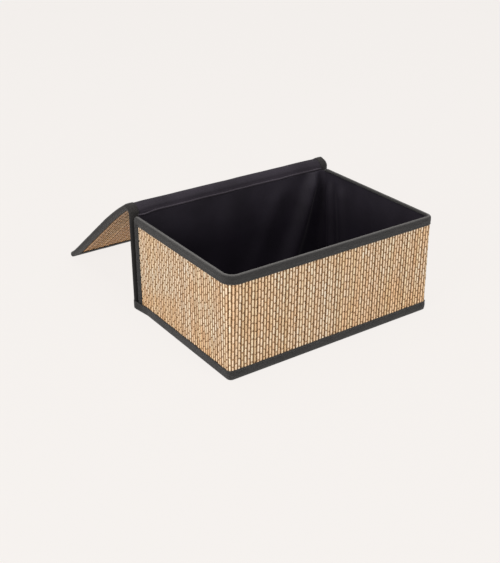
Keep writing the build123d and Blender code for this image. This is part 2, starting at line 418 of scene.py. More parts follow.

# %% [markdown]
# ### Binding tape, lining cloth, thread and board
# The tape is a charcoal twill: fine diagonal ridges, drawn with a wave texture over the numbers that say
# how far a point is along the tape, in from its fold, and through the bound edge. The rim's fold has a
# painted pale highlight along its crest, the panel's tape is a shade darker, and a painted shade makes the
# tape darkest behind, between the wall and the panel. The lining is a thin cloth, nearly black with a breath
# of violet, with a faint sheen on grazing light, and a painted shade darkens the bag towards its bottom. The
# thread is a little paler than the tape.

# %% Cloth materials
def tape_material(name, tone):
    """Charcoal tape with specks and twill ridges, painted shade behind the wall's ends, and a painted pale
    highlight along its fold.
    """
    finish = Finish(name, 0.78, 0.3)
    kept = finish.node("Attribute", attribute_name="strip").outputs["Vector"]
    twill = finish.node("TexWave", {"Vector": kept, "Scale": 260.0, "Distortion": 0.6, "Detail": 2.0},
                        bands_direction="DIAGONAL").outputs["Fac"]
    weave = finish.noise(kept, 1500.0, 2)
    worn = finish.noise(kept, 55.0, 3)
    low = tuple(value * 0.75 for value in tone)
    high = tuple(value * 1.30 for value in tone)
    colour = finish.ramp(worn, [(0.30, low), (0.72, high)])
    slub = finish.noise(kept, 430.0, 1)
    for grain, least, most in ((weave, 0.72, 1.25), (slub, 0.55, 1.45)):
        speck = finish.ramp(grain, [(0.35, (least, least, least)), (0.68, (most, most, most))])
        colour = finish.mix(1.0, colour, speck, "MULTIPLY")
    ridge = finish.ramp(twill, [(0.1, (0.75, 0.75, 0.75)), (0.9, (1.2, 1.2, 1.2))])
    colour = finish.mix(0.8, colour, ridge, "MULTIPLY")
    place = finish.node("SeparateXYZ", {0: finish.node("TexCoord").outputs["Object"]}).outputs
    # painted shade: the tape darkens behind the side walls' rear ends and below the rim, where wall and
    # panel meet
    behind = finish.between(place["Y"], SIDE_END - 0.018, SIDE_END - 0.010)
    before = finish.between(place["Y"], REAR + 0.012, REAR + 0.004)
    below = finish.between(place["Z"], TOP - 0.004, TOP - 0.014)
    tucked_shade = finish.math("MULTIPLY", finish.math("MULTIPLY", behind, before), below)
    colour = finish.mix(finish.math("MULTIPLY", tucked_shade, 0.9), colour, (0.0030, 0.0026, 0.0028, 1))
    parts = finish.node("SeparateXYZ", {0: kept}).outputs
    # painted highlight: a pale line along the crest of the rim's fold
    near_fold = finish.math("LESS_THAN", parts["Y"], 0.0034)
    off_crest = finish.math("ABSOLUTE", finish.math("SUBTRACT", parts["Z"], 0.15))
    highlight_lip = finish.math("MULTIPLY", near_fold, finish.between(off_crest, 0.75, 0.0))
    highlight_lip = finish.math("MULTIPLY", highlight_lip, 0.85)
    finish.colour(finish.mix(highlight_lip, colour, (0.120, 0.116, 0.114, 1)))
    finish.shader.inputs["Sheen Weight"].default_value = 0.12
    finish.shader.inputs["Sheen Roughness"].default_value = 0.5
    height = finish.math("ADD", finish.math("MULTIPLY", twill, 0.7), finish.math("MULTIPLY", weave, 0.5))
    finish.bump(height, 0.00025, 0.6)
    return finish.material


def lining_material(name, base, sheen, deep=(1, 1, 1, 1)):
    """Thin dark cloth: deep multiplies its colour low in the box, as painted shade."""
    finish = Finish(name, 0.62, 0.16)
    place = finish.node("TexCoord").outputs["Object"]
    fibre = finish.noise(place, 900.0, 3, 0.7)
    cloud = finish.noise(place, 22.0, 3)
    low = tuple(value * 0.8 for value in base)
    high = tuple(value * 1.3 for value in base)
    # painted shade: the colour darkens towards the bottom of the box
    down = finish.between(finish.node("SeparateXYZ", {0: place}).outputs["Z"], TOP, 0.070)
    depth_shade = finish.mix(down, (1, 1, 1, 1), deep)
    finish.colour(finish.mix(1.0, finish.ramp(cloud, [(0.3, low), (0.75, high)]), depth_shade, "MULTIPLY"))
    finish.shader.inputs["Sheen Weight"].default_value = sheen
    finish.shader.inputs["Sheen Roughness"].default_value = 0.4
    finish.shader.inputs["Sheen Tint"].default_value = (0.93, 0.88, 1.0, 1)
    creases = finish.noise(place, 60.0, 2)
    height = finish.math("ADD", finish.math("MULTIPLY", fibre, 0.25), finish.math("MULTIPLY", creases, 0.9))
    finish.bump(height, 0.0006, 0.5)
    return finish.material


def thread_material():
    """Twisted sewing thread."""
    finish = Finish("sewing_thread", 0.6, 0.4)
    place = finish.node("TexCoord").outputs["Object"]
    twist = finish.noise(place, 2400.0, 1)
    finish.colour(finish.ramp(twist, [(0.3, (0.030, 0.030, 0.032)), (0.7, (0.070, 0.069, 0.068))]))
    return finish.material


def board_material():
    """Pressed board, hidden inside the walls."""
    finish = Finish("stiffener_board", 0.9, 0.2)
    place = finish.node("TexCoord").outputs["Object"]
    pulp = finish.noise(place, 260.0, 4, 0.7)
    finish.colour(finish.ramp(pulp, [(0.35, (0.030, 0.028, 0.027)), (0.70, (0.060, 0.057, 0.054))]))
    finish.bump(pulp, 0.0002, 0.4)
    return finish.material


TAPE_CLOTH = tape_material("binding_tape", (0.0195, 0.0190, 0.0192))
PANEL_TAPE = tape_material("panel_tape", (0.0095, 0.0082, 0.0078))
LINING_CLOTH = lining_material("lining_cloth", (0.0182, 0.0156, 0.0222), 0.04, (0.31, 0.27, 0.36, 1))
PANEL_CLOTH = lining_material("panel_cloth", (0.0210, 0.0175, 0.0245), 0.08)
# painted highlight: the hem's cloth is a paler copy of the lining cloth
HEM_HIGHLIGHT_CLOTH = lining_material("hem_cloth_painted_highlight", (0.042, 0.036, 0.046), 0.12)
BASE_CLOTH = lining_material("base_cloth", (0.016, 0.015, 0.017), 0.1)
THREAD = thread_material()
BOARD_FINISH = board_material()
print("cloth materials ready")

# %% [markdown]
# ## The woven mat
# The weave is plain: each upright rib passes over one thin cross strand and under the next, and its
# neighbours do the opposite. One rib starts as a closed tube of five or six sides from `create_cone`, cut
# into rows with `subdivide_edges`. An Array modifier makes the copies, and then each copy is put beside the
# last and its points are raised or lowered by the weave's wave. The dips are short and the floats long,
# because the ribs are wide and the cross strands thin. Real geometry is worth its faces here, since the
# weave is what the eye looks at.

# %% Flat ribs and cross strands
RIB_PITCH = 0.00494
FLOAT_RUN = 0.01148
ROWS_PER_FLOAT = 6
CROWN = 0.0014
DIP = 0.0010
MAT_FACE = -TAPE
GROOVE = MAT_FACE - 0.0015
STRAND = MAT_FACE - 0.00135


def tube(sides, run, rows, axis):
    """A closed tube of radius 1 and length run along Y or X, cut into rows."""
    bm = bmesh.new()
    bmesh.ops.create_cone(bm, cap_ends=True, segments=sides, radius1=1, radius2=1, depth=run)
    lengthwise = [e for e in bm.edges if abs(e.verts[0].co.z - e.verts[1].co.z) > run / 2]
    bmesh.ops.subdivide_edges(bm, edges=lengthwise, cuts=rows - 1)
    for vert in bm.verts:
        x, y, z = vert.co
        vert.co = (x, z + run / 2, y) if axis == "Y" else (z + run / 2, x, y)
    mesh = bpy.data.meshes.new("tube")
    bm.to_mesh(mesh)
    bm.free()
    return mesh


def arrayed(piece, count, offset=(0, 0, 0)):
    """The mesh of a piece copied count times with an Array modifier."""
    array = piece.modifiers.new("copies", "ARRAY")
    array.count = count
    array.use_relative_offset = False
    array.use_constant_offset = True
    array.constant_offset_displace = offset
    made = bpy.data.meshes.new_from_object(piece.evaluated_get(bpy.context.evaluated_depsgraph_get()))
    piece.modifiers.clear()
    return made


def laid_out(mesh, name, count):
    """Copies of a strand in one mesh, and each point's strand number."""
    strand = bpy.data.objects.new(name, mesh)
    bpy.context.scene.collection.objects.link(strand)
    strand.data = arrayed(strand, count)
    return strand, np.arange(len(strand.data.vertices)) // len(mesh.vertices)


def ribs(name, count, low, high, sides, seed, bend):
    """Upright ribs between two heights, each rising and dipping out of step with its neighbours."""
    rows = round((high - low) / FLOAT_RUN * ROWS_PER_FLOAT)
    piece, rib = laid_out(tube(sides, high - low, rows, "Y"), name, count)
    flat = points_of(piece.data)
    draw = np.random.default_rng(seed)
    row = np.round(flat[:, 1] / (high - low) * rows)
    along = row / ROWS_PER_FLOAT + 0.5 * (rib % 2)
    off_float = along - np.round(along)
    to_dip = np.abs(off_float) * 2
    dip = to_dip ** 9
    warp = to_dip * (1 - to_dip) * off_float * 0.66 * FLOAT_RUN
    crown = flat[:, 2] > 0.1
    wide = np.where(crown, 0.40 + draw.normal(0, 0.03, count)[rib], 0.60) * RIB_PITCH
    sway = np.clip(draw.normal(0, 0.05, count), -0.08, 0.08)[rib] * RIB_PITCH
    sway = sway + ripple(flat[:, 1] + rib * 0.37, seed, RIB_PITCH * 0.045, 0.045)
    rib_lift = draw.normal(0, 0.00010, count)[rib]
    float_lift = draw.normal(0, 0.00012, (count, rows + 2))[rib, np.round(along).astype(int)]
    lift = rib_lift + float_lift
    x = (rib + 0.5) * RIB_PITCH + sway + flat[:, 0] * wide
    slip = draw.normal(0, 0.0012, count)[rib]
    y = np.clip(low + flat[:, 1] + warp + slip * (row > 0) * (row < rows), low, high)
    face = CROWN + lift * (1 - dip) - DIP * dip
    back = 0.0008 * np.minimum(flat[:, 2], 0)
    put(piece.data, bend(x, y, GROOVE + np.where(crown, face, back)))
    keep_numbers(piece.data, "weave", np.stack([rib + seed * 1000.0, flat[:, 0], along], -1))
    return turned_out(piece)


def cross_strands(name, count, low, run, seed, bend):
    """Thin four-sided strands across the ribs, over the ribs that dip and behind those that float."""
    steps = round(run / RIB_PITCH) * 3
    piece, strand = laid_out(tube(4, run, steps, "X"), name, count)
    flat = points_of(piece.data)
    draw = np.random.default_rng(seed)
    phase = flat[:, 0] / RIB_PITCH - 0.5 + strand
    over = np.cos((phase - 1) * math.pi)
    y = low + strand * FLOAT_RUN / 2 + flat[:, 1] * 0.0008 + draw.normal(0, 0.0002, count)[strand]
    z = STRAND + 0.00045 * over + flat[:, 2] * 0.0007
    put(piece.data, bend(flat[:, 0], y, z))
    return turned_out(piece)


print(f"ribs {RIB_PITCH * 1000:.2f} mm apart, floats {FLOAT_RUN * 1000:.2f} mm apart")

# %% [markdown]
# One mat goes round the left side, the front and the right side with no seam, so its ribs are laid out along
# the whole run of the walls and then bent round the two corners.

# %% The mat round the front and sides
MAT_LOW = TAPE
MAT_BACK = 0.005
wall_count = int((WALL_RUN - 2 * MAT_BACK) / RIB_PITCH)
wall_width = wall_count * RIB_PITCH


def on_walls(x, y, z):
    """A point of the flat mat, centred on the walls' run."""
    return wall_at(x + (WALL_RUN - wall_width) / 2, y, z)


wall_ribs = ribs("wrap_mat_ribs", wall_count, MAT_LOW, TOP - MAT_BACK, 6, 1, on_walls)
dressed(wall_ribs, SEAGRASS, "box", ["wrap_mat"])
wall_rows = int((TOP - MAT_BACK) / FLOAT_RUN * 2)
wall_strands = cross_strands("wrap_mat_cross_strands", wall_rows, MAT_LOW, wall_width, 2, on_walls)
dressed(wall_strands, WEFT, "box")

# %% [markdown]
# The panel's mat is one piece from the ground, up the rear wall, over the fold and down the lid.

# %% The mat of the rear wall and lid
panel_count = int(2 * (PANEL_HALF - MAT_BACK) / RIB_PITCH)
panel_width = panel_count * RIB_PITCH


def on_panel(x, y, z):
    """A point of the flat mat, centred on the panel and on its outer side."""
    return panel_at(x - panel_width / 2, y, -BOUND - z)


panel_ribs = ribs("panel_mat_ribs", panel_count, MAT_LOW, PANEL_RUN - MAT_BACK, 5, 3, on_panel)
dressed(panel_ribs, SHADED_PANEL_SEAGRASS, None, ["rear_mat", "hinge_mat", "lid_mat"])
folds_with_lid(panel_ribs)
panel_rows = int((PANEL_RUN - MAT_BACK) / FLOAT_RUN * 2)
panel_strands = cross_strands("panel_mat_cross_strands", panel_rows, MAT_LOW, panel_width, 4, on_panel)
dressed(panel_strands, WEFT, None)
folds_with_lid(panel_strands)

# %% [markdown]
# ## Binding tape
# A binding is a strip folded over an edge and sewn down. Its section is a long hairpin: down the outside,
# round the edge and up the inside, with the thickness of the tape all along. The panel's tape shows equally
# on both sides, and the rim's tape lies mostly on the outside, with about 3 mm inside over the lining. The
# section is swept along the edge by making one grid, with the section around it and the stations along it,
# welding the grid's two long sides together and closing its ends.

# %% Sweeping a section
SEAM_BACK = 0.002
SEAM = TAPE_BAND - SEAM_BACK
RIM_INSIDE = 0.003


def swept(section, stations, closed=False):
    """A closed skin on a grid: x is the station's number, y and z are the section's point."""
    bm = bmesh.new()
    around = len(section)
    along = len(stations) if closed else len(stations) - 1
    bmesh.ops.create_grid(bm, x_segments=along, y_segments=around, size=0.5)
    for vert in bm.verts:
        step = round((vert.co.x + 0.5) * along)
        turn = round((vert.co.y + 0.5) * around)
        vert.co = (step % len(stations), *section[turn % around])
    bmesh.ops.remove_doubles(bm, verts=bm.verts, dist=1e-7)
    bmesh.ops.holes_fill(bm, edges=[e for e in bm.edges if e.is_boundary], sides=0)
    return bm


def arc(centre, radius, start, end, steps):
    """Points on an arc, with angles in degrees."""
    turns = [math.radians(start + (end - start) * step / steps) for step in range(steps + 1)]
    return [(centre[0] + radius * math.cos(a), centre[1] + radius * math.sin(a)) for a in turns]


def hairpin(band, inside):
    """A folded tape's section round an edge: how far in from the edge, and out from the panel's middle."""
    seam = band - SEAM_BACK
    puff = 0.00035
    leg = [(band, -0.0002), (band - 0.0006, 0.0), (seam + 0.0008, 0.0001), (seam, -0.00015),
           (seam - 0.0008, 0.0001), (band * 0.55, puff), (BOUND * 1.6, puff * 0.7)]
    outer = [(depth, BOUND + rise) for depth, rise in leg]
    nose_radius = BOUND * 1.02
    nose = arc((nose_radius, 0), nose_radius, 90, 270, 10)
    share = inside / band
    inner = [(depth * share, -out) for depth, out in reversed(outer) if depth * share > BOUND]
    inner = inner or [(inside, -BOUND), (inside + 0.0003, -BOUND + TAPE / 2)]
    turn = arc((BOUND, 0), FACE, 270, 90, 6)[1:-1]
    back = [(max(inside, BOUND), -FACE)] + turn + [(BOUND, FACE), (band, FACE)]
    return outer + nose + inner + back


print("sweep ready")

# %% [markdown]
# The tape's path is drawn in the flat plane of the wall or panel: up one side, across and down the other,
# with rounded corners. A point that lies in from the edge would cross over itself inside a corner, so it is
# held at the mitre line, which is where a real tape is folded. `swell` thickens the lining's side of the
# panel's tape near the lid's corners, and a tape's fold can be given a painted pale highlight along its
# crest.

# %% The path of a binding round three sides
def three_sides(half_width, foot, top, radius, step):
    """Stations (point, inward direction) up the left side, across the top and down the right side."""
    def run(start, end):
        count = max(2, round(math.dist(start, end) / step))
        return [tuple(a + (b - a) * i / count for a, b in zip(start, end)) for i in range(count)]

    def corner(middle, inwards):
        return [((middle - radius * x, top - radius - radius * y), (x, y)) for x, y in inwards]

    turns = np.linspace(0, math.pi / 2, 9)
    inner = half_width - radius
    up = run((-half_width, foot), (-half_width, top - radius))
    across = run((-inner, top), (inner, top))[1:]
    down = run((half_width, top - radius), (half_width, foot))[1:] + [(half_width, foot)]
    sides = [(point, (1, 0)) for point in up]
    sides += corner(-inner, [(math.cos(turn), -math.sin(turn)) for turn in turns])
    sides += [(point, (0, -1)) for point in across]
    sides += corner(inner, [(-math.sin(turn), -math.cos(turn)) for turn in turns])
    sides += [(point, (-1, 0)) for point in down]
    return sides


def flat_piece(bm, name):
    """A piece still flat, and its points."""
    piece = finished(bm, name)
    return piece, points_of(piece.data)


def run_along(places):
    """How far along a path each of its places is."""
    return np.concatenate([[0], np.cumsum(np.hypot(*np.diff(places, axis=0).T))])


def binding(name, section, stations, half_width, top, radius, bend, seed, swell=0.0, highlight_lip=True):
    """A folded tape swept round three sides of a flat shape, then bent into place."""
    piece, flat = flat_piece(swept(section, stations), name)
    station = np.round(flat[:, 0]).astype(int)
    places = np.array([point for point, inward in stations])
    inward = np.array([inward for point, inward in stations])[station]
    run = run_along(places)[station]
    depth = flat[:, 1]
    in_arc = (np.abs(inward) > 1e-6).all(1)
    reach = np.where(in_arc, np.minimum(depth, radius), depth)
    sway = ripple(run, seed, 0.00025, 0.06) * (depth > 0.008)
    spot = places[station] + inward * reach[:, None] + inward * sway[:, None]
    held = np.minimum(depth, half_width)
    a = np.clip(spot[:, 0], -half_width + held, half_width - held)
    b = np.minimum(spot[:, 1], top - held)
    out = flat[:, 2] + np.sign(flat[:, 2]) * ripple(run + depth, seed + 1, 0.00012, 0.05)
    to_corner = np.hypot(half_width - np.abs(a), top - b)
    out = out * (1 + np.where(out > 0, swell, 0) * np.exp(-(to_corner / 0.014) ** 2))
    put(piece.data, bend(a, b, out))
    # the third number places the painted pale highlight along the fold; ones leave it off
    through = out / BOUND if highlight_lip else np.ones_like(out)
    keep_numbers(piece.data, "strip", np.stack([run, depth, through], -1))
    return turned_out(piece)


print("binding path ready")

# %% [markdown]
# The rim's binding also runs down the rear end of each side wall, turning a small round corner, so it is one
# tape over three sides of the flat wall. The panel's binding is one tape up the rear wall's left edge, over
# the fold, round the lid and back down the right edge.

# %% Rim binding
RIM_TURN = 0.009
FOOT_LAP = 0.003
half_run = WALL_RUN / 2


def on_wall_edge(a, b, out):
    """A point of the rim's tape, from the middle of the front and of the wall's thickness."""
    return wall_at(a + half_run, b, out - BOUND)


rim_stations = three_sides(half_run, TAPE_BAND - FOOT_LAP, TOP, RIM_TURN, 0.004)
rim_section = hairpin(TAPE_BAND - 0.001, RIM_INSIDE)
rim = binding("rim_binding", rim_section, rim_stations, half_run, TOP, RIM_TURN, on_wall_edge, 11)
dressed(rim, TAPE_CLOTH, "box", ["rim_tape", "left_corner_tape", "right_corner_tape"])

# %% Panel binding
PANEL_TURN = 0.0035
panel_stations = three_sides(PANEL_HALF, TAPE_BAND - FOOT_LAP, PANEL_RUN, PANEL_TURN, 0.003)
panel_section = hairpin(TAPE_BAND, TAPE_BAND)
panel_binding = binding("panel_binding", panel_section, panel_stations, PANEL_HALF, PANEL_RUN, PANEL_TURN,
                        panel_at, 21, swell=0.7, highlight_lip=False)
dressed(panel_binding, PANEL_TAPE, None,
        ["left_rear_tape", "right_rear_tape", "left_hinge_tape", "right_hinge_tape", "left_lid_tape",
         "right_lid_tape", "front_lid_tape"])
folds_with_lid(panel_binding)

# %% [markdown]
# The foot's tape laps over the lower ends of the upright tapes and in under the base. At the rear it spreads
# outwards to take in the panel's edges, which stand out past the side walls. Its path is a closed ring.

# %% Foot binding
FLARE = 0.028


def ring(corners, step):
    """Stations (point, outward direction) round a closed outline of (x, y, radius) corners."""
    stations = []
    count = len(corners)
    for i, (x, y, radius) in enumerate(corners):
        here = Vector((x, y))
        after = Vector(corners[(i + 1) % count][:2])
        back_way = (Vector(corners[i - 1][:2]) - here).normalized()
        on_way = (after - here).normalized()
        half_angle = back_way.angle(on_way) / 2
        reach = radius / math.tan(half_angle)
        start, end = here + back_way * reach, here + on_way * reach
        centre = here + (back_way + on_way).normalized() * radius / math.sin(half_angle)
        for k in range(7):
            way = (start - centre).lerp(end - centre, k / 6).normalized()
            outward = way if (here - centre).dot(way) > 0 else -way
            bulge = cross(back_way, on_way) < 0
            stations.append((centre + way * radius, outward if bulge else -outward))
        next_back = (here - after).normalized()
        next_on = (Vector(corners[(i + 2) % count][:2]) - after).normalized()
        next_reach = corners[(i + 1) % count][2] / math.tan(next_back.angle(next_on) / 2)
        stop = after + next_back * next_reach
        pieces = max(1, round((stop - end).length / step))
        outward = Vector((on_way.y, -on_way.x))
        for k in range(1, pieces):
            stations.append((end.lerp(stop, k / pieces), outward))
    return stations


def cross(a, b):
    return a.x * b.y - a.y * b.x


def foot_binding():
    """The tape round the foot, flared at the rear, with its inner edge turned in under the base."""
    outline = [(HALF, FRONT, 0.006), (HALF, SIDE_END - FLARE, 0.02), (PANEL_HALF, SIDE_END, 0.004),
               (PANEL_HALF, REAR, 0.002), (-PANEL_HALF, REAR, 0.002), (-PANEL_HALF, SIDE_END, 0.004),
               (-HALF, SIDE_END - FLARE, 0.02), (-HALF, FRONT, 0.007)]
    stations = ring(outline, 0.004)
    face = [(0.0001, TAPE_BAND), (0.0006, TAPE_BAND - 0.0005), (0.0004, SEAM + 0.0008), (0.0001, SEAM),
            (0.0004, SEAM - 0.0008), (0.0007, TAPE_BAND * 0.5), (0.0003, 0.003), (-0.0002, 0.001),
            (-0.0012, 0.0)]
    under = [(-0.006, 0.0), (-0.012, 0.0), (-0.012, TAPE), (-0.002, TAPE), (-TAPE, 0.002)]
    section = face + under + [(-TAPE, TAPE_BAND * 0.5), (-TAPE, TAPE_BAND)]
    piece, flat = flat_piece(swept(section, stations, closed=True), "foot_binding")
    station = np.round(flat[:, 0]).astype(int)
    places = np.array([tuple(point) for point, outward in stations])
    outwards = np.array([tuple(outward) for point, outward in stations])
    run = run_along(places)[station]
    depth = np.maximum(-flat[:, 1], 0)
    spot = places[station] + outwards[station] * flat[:, 1][:, None]
    wide = np.maximum(HALF, np.abs(places[station, 0])) - depth
    x = np.clip(spot[:, 0], -wide, wide)
    y = np.clip(spot[:, 1], FRONT + depth - 0.001, REAR - depth + 0.001)
    sway = ripple(run, 31, 0.00025, 0.05) * (flat[:, 2] > 0.008)
    put(piece.data, np.stack([x, y, flat[:, 2] + sway], -1))
    keep_numbers(piece.data, "strip", np.stack([run, flat[:, 2] - flat[:, 1], np.ones_like(x)], -1))
    return turned_out(piece)


foot = foot_binding()
dressed(foot, TAPE_CLOTH, "box", ["base_tape"])

# %% [markdown]
# ## Stitches
# Each row is a line of short rounded stitches that sink a little into the tape. One low stitch of about
# twenty faces is copied along the row with an Array modifier, then bent like the tape it sits on.

# %% Stitch rows
STITCH_STEP = 0.0034
STITCH_RUN = 0.0026


def stitch_row(run):
    """A flat row of stitches along x, centred on y = 0, and its points."""
    bm = bmesh.new()
    bmesh.ops.create_cone(bm, cap_ends=True, segments=6, radius1=0.5, radius2=0.5, depth=1.0)
    lengthwise = [e for e in bm.edges if abs(e.verts[0].co.z - e.verts[1].co.z) > 0.5]
    bmesh.ops.subdivide_edges(bm, edges=lengthwise, cuts=2)
    for vert in bm.verts:
        x, y, z = vert.co
        fat = 1 - (2 * abs(z)) ** 4 * 0.7
        vert.co = (z * STITCH_RUN, x * 0.00075 * fat, y * 0.0005 * fat + 0.00012 * (1 - (2 * z) ** 2))
    mesh = bpy.data.meshes.new("stitch")
    bm.to_mesh(mesh)
    bm.free()
    count = int(run / STITCH_STEP)
    stitch = bpy.data.objects.new("stitch", mesh)
    bpy.context.scene.collection.objects.link(stitch)
    made = arrayed(stitch, count, (STITCH_STEP, 0, 0))
    bpy.data.objects.remove(stitch)
    flat = points_of(made)
    flat[:, 0] += (run - (count - 1) * STITCH_STEP) / 2
    return made, flat


def stitches(name, rows, body, replaced):
    """Rows of (run, place) joined into one piece. place says where along, aside and out of a row goes."""
    bm = bmesh.new()
    for run, place in rows:
        mesh, flat = stitch_row(run)
        put(mesh, place(flat[:, 0], flat[:, 1], flat[:, 2]))
        bm.from_mesh(mesh)
        bpy.data.meshes.remove(mesh)
    bmesh.ops.recalc_face_normals(bm, faces=bm.faces)
    piece = finished(bm, name)
    dressed(piece, THREAD, body, replaced)
    return piece


def wall_row(start, height, run, upright):
    """A row on the walls' outer face, level or upright, from a place along them and a height."""
    def place(s, a, out):
        if upright:
            return wall_at(start + a, height + s, out)
        return wall_at(start + s, height + a, out)

    return run, place


rim_line = TOP - SEAM
upright_run = rim_line - TAPE_BAND
stitches("rim_stitches", [wall_row(SEAM, rim_line, WALL_RUN - 2 * SEAM, False)], "box", ["rim_thread"])
for side, start in (("left", SEAM), ("right", WALL_RUN - SEAM)):
    row = wall_row(start, TAPE_BAND, upright_run, True)
    stitches(f"{side}_corner_stitches", [row], "box", [f"{side}_corner_thread"])

# %% Stitches on the panel and foot
panel_line = PANEL_HALF - SEAM
lid_start = FOLD_Z + FOLD_RUN
lid_end = PANEL_RUN - SEAM


def panel_row(x, along, run, face, upright):
    """A row up or across the panel, on the lining's side (1) or the mat's (-1)."""
    def place(s, a, out):
        if upright:
            return panel_at(x + a, along + s, face * (BOUND + out))
        return panel_at(x + s, along + a, face * (BOUND + out))

    return run, place


for face, name in ((1, "lid_lining"), (-1, "lid_mat")):
    rows = [panel_row(x, lid_start, lid_end - lid_start, face, True) for x in (-panel_line, panel_line)]
    rows.append(panel_row(-panel_line, lid_end, 2 * panel_line, face, False))
    folds_with_lid(stitches(f"{name}_stitches", rows, None, [f"{name}_thread"]))
for side, x in (("left", -panel_line), ("right", panel_line)):
    row = panel_row(x, TAPE_BAND, TOP - TAPE_BAND, -1, True)
    stitches(f"{side}_rear_stitches", [row], "box", [f"{side}_rear_thread"])


def foot_row(start, end):
    """A straight row on the foot's tape between two plan points, as seen from outside."""
    start, end = Vector(start), Vector(end)
    way = (end - start).normalized()
    outward = Vector((way.y, -way.x))

    def place(s, a, out):
        x = start.x + way.x * s + outward.x * out
        y = start.y + way.y * s + outward.y * out
        return np.stack([x, y, SEAM + a], -1)

    return (end - start).length, place


corner_gap = 0.007
proud = 0.0002
side_x = HALF + proud
flare_y = SIDE_END - FLARE
stitches("foot_stitches", [
    foot_row((-HALF + corner_gap, FRONT - proud), (HALF - corner_gap, FRONT - proud)),
    foot_row((side_x, FRONT + corner_gap), (side_x, flare_y)),
    foot_row((side_x, flare_y), (PANEL_HALF, SIDE_END)),
    foot_row((PANEL_HALF - 0.002, REAR + proud), (-PANEL_HALF + 0.002, REAR + proud)),
    foot_row((-PANEL_HALF, SIDE_END), (-side_x, flare_y)),
    foot_row((-side_x, flare_y), (-side_x, FRONT + corner_gap)),
], "box", ["base_thread"])

# %% [markdown]
# ## The lining
# The lining is a loose bag of thin cloth. It starts as a cube with no top, cut into a fine grid, and its
# upright corners are rounded. Folds are then pushed inwards: a broad one leans across the rear wall near
# the right corner, the corner itself is drawn in, and fainter ones lie elsewhere. Most fade out towards
# the rim, where the cloth is held. A Solidify modifier gives the cloth its thickness.

# %% Lining bag
BAG_CORNER = 0.011
bag_centre = (bag_low + bag_high) / 2
bag_size = bag_high - bag_low


def hump(values, centre, width):
    """A smooth ridge, 1 at its centre."""
    return np.exp(-((values - centre) / width) ** 2)


def rounded(x, y, half_x, half_y, radius):
    """Moves a rectangle's points so that its corners are round."""
    u = np.maximum(np.abs(x) - (half_x - radius), 0)
    v = np.maximum(np.abs(y) - (half_y - radius), 0)
    long = np.maximum(np.hypot(u, v), 1e-9)
    share = np.where((u > 0) & (v > 0), np.maximum(u, v) / long, 1)
    corner_x = np.sign(x) * (np.minimum(np.abs(x), half_x - radius) + u * share)
    corner_y = np.sign(y) * (np.minimum(np.abs(y), half_y - radius) + v * share)
    return corner_x, corner_y


def bag_folds(x, y, height):
    """How far the cloth stands in from each wall: rear, right, left and front."""
    down = np.clip(1 - height / bag_size.z, 0, 1)
    held = smooth_step((bag_size.z - 0.004 - height) / 0.030)
    rear = 0.0135 * hump(x, 0.153 - 0.050 * down, 0.009 + 0.009 * down) * smooth_step(0.30 + down * 4)
    rear = rear + 0.0050 * hump(x, 0.092 - 0.060 * down, 0.017) * smooth_step(down * 4)
    rear = rear + 0.0026 * hump(x, 0.000 - 0.03 * down, 0.022) * smooth_step(down * 3)
    rear = rear + 0.0026 * hump(x, -0.120 + 0.02 * down, 0.018) * smooth_step(down * 3)
    rear = rear + 0.0008 * (1 + np.sin(x * 95 + height * 30)) * smooth_step(down * 3)
    right = 0.0060 * hump(y, 0.101 - 0.010 * down, 0.0055) * held
    right = right + 0.0050 * hump(y, 0.075 - 0.015 * down, 0.010) * held
    right = right + 0.0008 * (1 + np.sin(y * 70 - height * 25)) * held
    left = 0.0030 * hump(y, -0.040 + 0.05 * down, 0.022) * held + 0.0010 * (1 + np.sin(y * 60 + 2)) * held
    front = 0.0028 * hump(x, 0.060, 0.030) * held + 0.0010 * (1 + np.sin(x * 55 + 1)) * held
    return rear, right, left, front


def thickened(cloth, thickness):
    """Gives a sheet its thickness, behind its drawn face."""
    thick = cloth.modifiers.new("cloth", "SOLIDIFY")
    thick.thickness = thickness
    thick.offset = -1
    return cloth


def lining_bag():
    """The whole bag: four walls and a bottom, with its folds."""
    bm = bmesh.new()
    bmesh.ops.create_cube(bm, size=1.0)
    top = [face for face in bm.faces if face.normal.z > 0.9]
    bmesh.ops.delete(bm, geom=top, context="FACES_ONLY")
    bmesh.ops.subdivide_edges(bm, edges=bm.edges, cuts=56, use_grid_fill=True)
    bag = finished(bm, "box_lining_cloth")
    flat = points_of(bag.data)
    x, y = flat[:, 0] * bag_size.x, flat[:, 1] * bag_size.y
    height = (flat[:, 2] + 0.5) * bag_size.z
    rear, right, left, front = bag_folds(x, y, height)
    rear_side = smooth_step(flat[:, 1] * 14 - 6)
    right_side = smooth_step(flat[:, 0] * 14 - 6)
    left_side = smooth_step(-flat[:, 0] * 14 - 6)
    front_side = smooth_step(-flat[:, 1] * 14 - 6)
    x, y = rounded(x, y, bag_size.x / 2, bag_size.y / 2, BAG_CORNER)
    x = x - right * right_side + left * left_side
    y = y - rear * rear_side + front * front_side
    floor_share = 1 - smooth_step(height / 0.012)
    inside = (1 - rear_side) * (1 - right_side) * (1 - left_side) * (1 - front_side)
    lift = 0.0012 * inside * floor_share * (1 + ripple(x + 0.6 * y, 41, 1.0, 0.11))
    under_tape = TOP - RIM_INSIDE + 0.0004 * rear_side
    z = np.minimum(bag_low.z + height + lift, under_tape)
    put(bag.data, np.stack([bag_centre.x + x, bag_centre.y + y, z], -1))
    return thickened(turned_out(bag), LINING)


bag = dressed(lining_bag(), LINING_CLOTH, "box", ["box_lining"])

# %% [markdown]
# The panel's lining runs from the top of the rear wall, over the fold and down the lid. Over the fold it
# lies a little lower, because nothing stiff is under it there.

# %% Panel lining
cloth_half = PANEL_HALF - TAPE * 1.5
cloth_start = TOP - 0.003
cloth_end = PANEL_RUN - TAPE * 1.5


